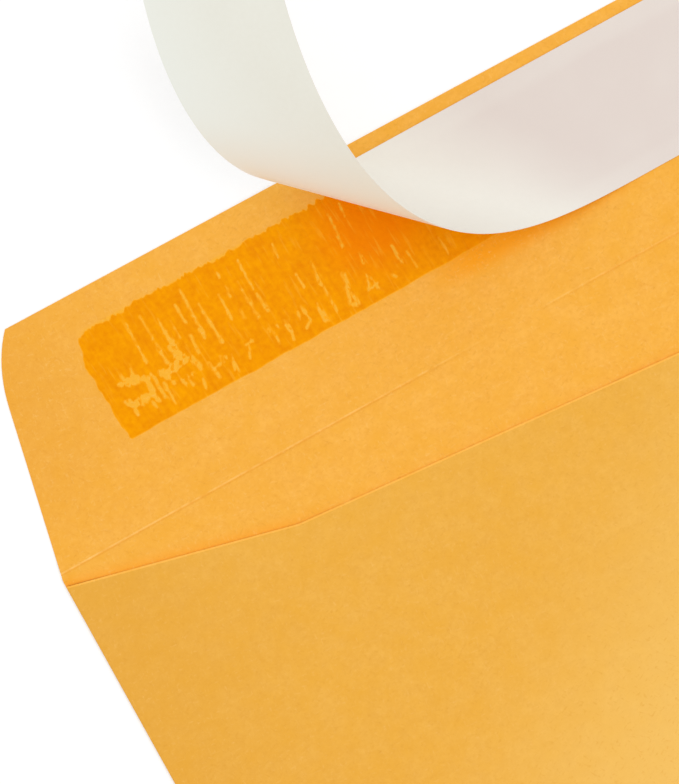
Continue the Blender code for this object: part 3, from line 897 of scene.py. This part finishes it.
def make_floor():
    half = FLOOR_SIZE / 2 * MM
    mesh = bpy.data.meshes.new("floor")
    corners = [(-half, -half), (half, -half), (half, half), (-half, half)]
    mesh.from_pydata([(x, y, -FLOOR_DROP * MM) for x, y in corners], [], [(0, 1, 2, 3)])
    floor = bpy.data.objects.new("floor", mesh)
    bpy.context.scene.collection.objects.link(floor)
    material = bpy.data.materials.new("floor")
    material.use_nodes = True
    tree = material.node_tree
    shader = tree.nodes["Principled BSDF"]
    shader.inputs["Base Color"].default_value = (FLOOR_GREY, FLOOR_GREY, FLOOR_GREY, 1)
    shader.inputs["Roughness"].default_value = 1.0
    shader.inputs["Specular IOR Level"].default_value = 0.0
    shader.inputs["Emission Color"].default_value = (1, 1, 1, 1)
    glow = tree.nodes.new("ShaderNodeMath")
    glow.operation = "MULTIPLY"
    glow.inputs[1].default_value = FLOOR_GLOW
    tree.links.new(seen_directly(tree), glow.inputs[0])
    tree.links.new(glow.outputs[0], shader.inputs["Emission Strength"])
    mesh.materials.append(material)


def make_lamp(name, place, target, size, power):
    """A square lamp, in millimetres, that isn't seen in the picture itself."""
    data = bpy.data.lights.new(name, "AREA")
    data.shape = "SQUARE"
    data.size = size * MM
    data.energy = power
    lamp = bpy.data.objects.new(name, data)
    lamp.location = Vector(place) * MM
    lamp.rotation_euler = (Vector(target) - Vector(place)).to_track_quat("-Z", "Y").to_euler()
    lamp.visible_camera = False
    bpy.context.scene.collection.objects.link(lamp)


def make_camera():
    data = bpy.data.cameras.new("camera")
    data.sensor_width, data.lens = CAMERA_SENSOR, CAMERA_LENS
    data.clip_start, data.clip_end = 0.01, 20.0
    camera = bpy.data.objects.new("camera", data)
    look, right = Vector(CAMERA_LOOK).normalized(), Vector(CAMERA_RIGHT)
    right = (right - look * right.dot(look)).normalized()
    axes = Matrix((right, right.cross(look), -look)).transposed()
    camera.matrix_world = Matrix.Translation(Vector(CAMERA_PLACE) * MM) @ axes.to_4x4()
    bpy.context.scene.collection.objects.link(camera)
    bpy.context.scene.camera = camera


inside = kraft_material(
    "kraft_inside", dark=(0.885, 0.4, 0.046, 1), light=(0.995, 0.5, 0.08, 1),
    warm=(0.92, 0.42, 0.032, 1), fleck_and_shade=(0.78, 0.33, 0.03, 1), pale=(1.0, 0.57, 0.15, 1),
    score=0.62)
outside = kraft_material(
    "kraft_outside", dark=(0.81, 0.395, 0.048, 1), light=(0.905, 0.475, 0.077, 1),
    warm=(0.85, 0.41, 0.036, 1), fleck_and_shade=(0.74, 0.34, 0.035, 1), pale=(0.95, 0.53, 0.13, 1),
    painted_sheen=(0.925, 0.585, 0.158, 1))
cut_edge = kraft_material(
    "kraft_cut_edge", dark=(0.97, 0.46, 0.06, 1), light=(1.0, 0.53, 0.095, 1),
    warm=(0.96, 0.445, 0.045, 1), fleck_and_shade=(0.86, 0.39, 0.045, 1), pale=(1.0, 0.59, 0.15, 1))
gum = adhesive_material()
liner_outer = liner_material(
    "liner_outer", dark=(0.89, 0.855, 0.775, 1), light=(0.915, 0.88, 0.8, 1),
    roughness=0.55, tooth=0.006, over_gum=(0.76, 0.665, 0.61, 1))
liner_release = liner_material(
    "liner_release", dark=(0.84, 0.825, 0.73, 1), light=(0.865, 0.855, 0.765, 1),
    roughness=0.32, tooth=0.004, low=(0.9, 0.93, 0.87, 1))
liner_edge = liner_material(
    "liner_edge", dark=(0.8, 0.76, 0.68, 1), light=(0.84, 0.8, 0.73, 1),
    roughness=0.7, tooth=0.006)

make_piece("envelope_sheet", *folded_sheet(), (inside, outside, cut_edge),
           "kraft_paper", "kraft_envelope")
make_piece("adhesive_film", *adhesive_film(), (gum,), "adhesive", "adhesive_strip")
make_piece("liner_paper", *liner_strip(), (liner_outer, liner_release, liner_edge),
           "release_paper", "release_liner")

make_world()
make_floor()
make_lamp("key", KEY_PLACE, KEY_TARGET, KEY_SIZE, KEY_POWER)
make_lamp("fill", FILL_PLACE, FILL_TARGET, FILL_SIZE, FILL_POWER)
make_camera()
bpy.context.scene.view_settings.view_transform = "Standard"
